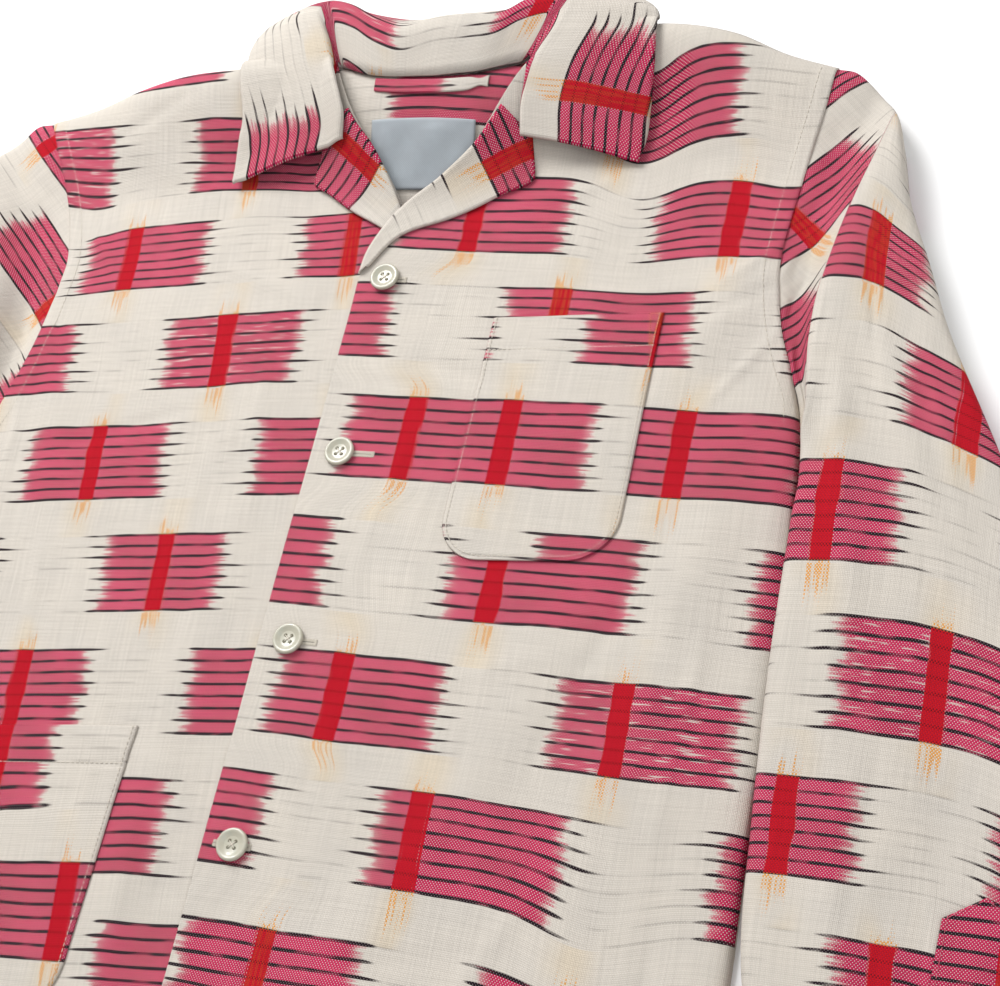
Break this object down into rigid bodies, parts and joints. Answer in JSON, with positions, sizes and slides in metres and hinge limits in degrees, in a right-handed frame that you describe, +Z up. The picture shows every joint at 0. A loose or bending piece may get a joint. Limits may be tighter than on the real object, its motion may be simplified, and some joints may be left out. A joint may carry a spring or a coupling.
{
  "type": "camp-collar overshirt, laid flat",
  "caption": "Long-sleeved camp-collar overshirt in handwoven cotton with resist-dyed striped blocks, laid flat on its back and buttoned, with patch pockets on chest and hip.",
  "frame": {"origin": "centre of the garment's outline, on the surface that it lies on", "axes": "+X to the wearer's left, +Y towards the collar, +Z up from the surface"},
  "size_m": [0.847, 0.7683, 0.0491],
  "materials": {
    "cloth": "coarse handwoven cotton, resist-dyed",
    "loop": "woven strip",
    "label": "plain woven patch",
    "button": "polished"
  },
  "bodies": {
    "root": {"back": "cloth", "front_left": "cloth", "front_right": "cloth", "lapel_left": "cloth", "lapel_right": "cloth", "collar": "cloth", "sleeve_left": "cloth", "sleeve_right": "cloth", "cuff_left": "cloth", "cuff_right": "cloth", "sleeve_placket_left": "cloth", "sleeve_placket_right": "cloth", "chest_pocket": "cloth", "hip_pocket": "cloth", "label": "label", "hang_loop": "loop", "button_1": "button", "button_2": "button", "button_3": "button", "button_4": "button", "button_5": "button", "cuff_button_left": "button", "cuff_button_right": "button"}
  },
  "joints": []
}
